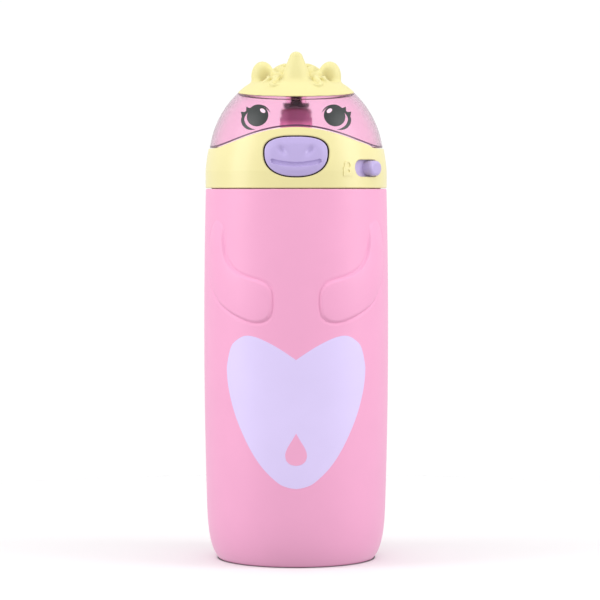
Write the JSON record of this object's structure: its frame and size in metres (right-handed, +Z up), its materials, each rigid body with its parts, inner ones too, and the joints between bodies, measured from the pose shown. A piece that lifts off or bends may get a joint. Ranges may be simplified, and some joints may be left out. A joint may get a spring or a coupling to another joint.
{
  "type": "insulated water bottle",
  "caption": "Round upright insulated drinking bottle in a soft sleeve, with a flip-up clear dome lid, push button, slide lock and animal-ear topper.",
  "frame": {"origin": "centre of the base, on the surface it stands on", "axes": "+Z up along the bottle's axis, -Y towards the front with the button, +X towards the lock"},
  "size_m": [0.0724, 0.0724, 0.1984],
  "materials": {
    "pink_silicone": "soft matt",
    "steel": "brushed",
    "clear_silicone": "soft satin",
    "yellow_plastic": "satin",
    "lid_plastic": "satin",
    "spout_silicone": "soft matt",
    "straw_plastic": "satin",
    "lavender_plastic": "satin",
    "latch_plastic": "satin",
    "pink_clear": "clear gloss",
    "seal_silicone": "soft matt",
    "yellow_silicone": "soft matt"
  },
  "bodies": {
    "bottle": {"sleeve": "pink_silicone", "outer_shell": "steel", "inner_vessel": "steel", "base_cap": "steel"},
    "gasket": {"lid_gasket": "clear_silicone"},
    "lid": {"lid_ring": "yellow_plastic", "lid_core": "lid_plastic", "spout": "spout_silicone", "straw": "straw_plastic", "vent_valve": "clear_silicone", "hinge_pin": "steel", "dome_spring": "steel", "button_spring_left": "steel", "button_spring_right": "steel", "lock_retainer": "lid_plastic"},
    "dome": {"dome": "pink_clear", "spout_seal": "seal_silicone", "topper": "yellow_silicone", "topper_clip": "lid_plastic"},
    "button": {"button": "lavender_plastic", "latch_frame": "latch_plastic"},
    "lock": {"lock_slider": "lavender_plastic"}
  },
  "joints": [
    {"name": "lid_lift", "type": "slide", "parent": "bottle", "child": "gasket", "axis": [0, 0, 1], "range_m": [0, 0.0095]},
    {"name": "lid_turn", "type": "hinge", "parent": "gasket", "child": "lid", "pos_m": [0, 0, 0], "axis": [0, 0, 1], "range_deg": [0, 684]},
    {"name": "dome_flip", "type": "hinge", "parent": "lid", "child": "dome", "pos_m": [0, 0.033, 0.162], "axis": [-1, 0, 0], "range_deg": [0, 115], "deforming": ["dome_spring"]},
    {"name": "button_press", "type": "slide", "parent": "lid", "child": "button", "axis": [0, 1, 0], "range_m": [0, 0.001], "stiffness_N_per_m": 1200, "springref_m": -0.001, "deforming": ["button_spring_left", "button_spring_right"]},
    {"name": "lock_slide", "type": "hinge", "parent": "lid", "child": "lock", "pos_m": [0, 0, 0], "axis": [0, 0, 1], "range_deg": [-9.5, 0]}
  ],
  "couplings": [
    {"joint": "lid_lift", "follows": "lid_turn", "m_per_rad": 0.00079577}
  ]
}
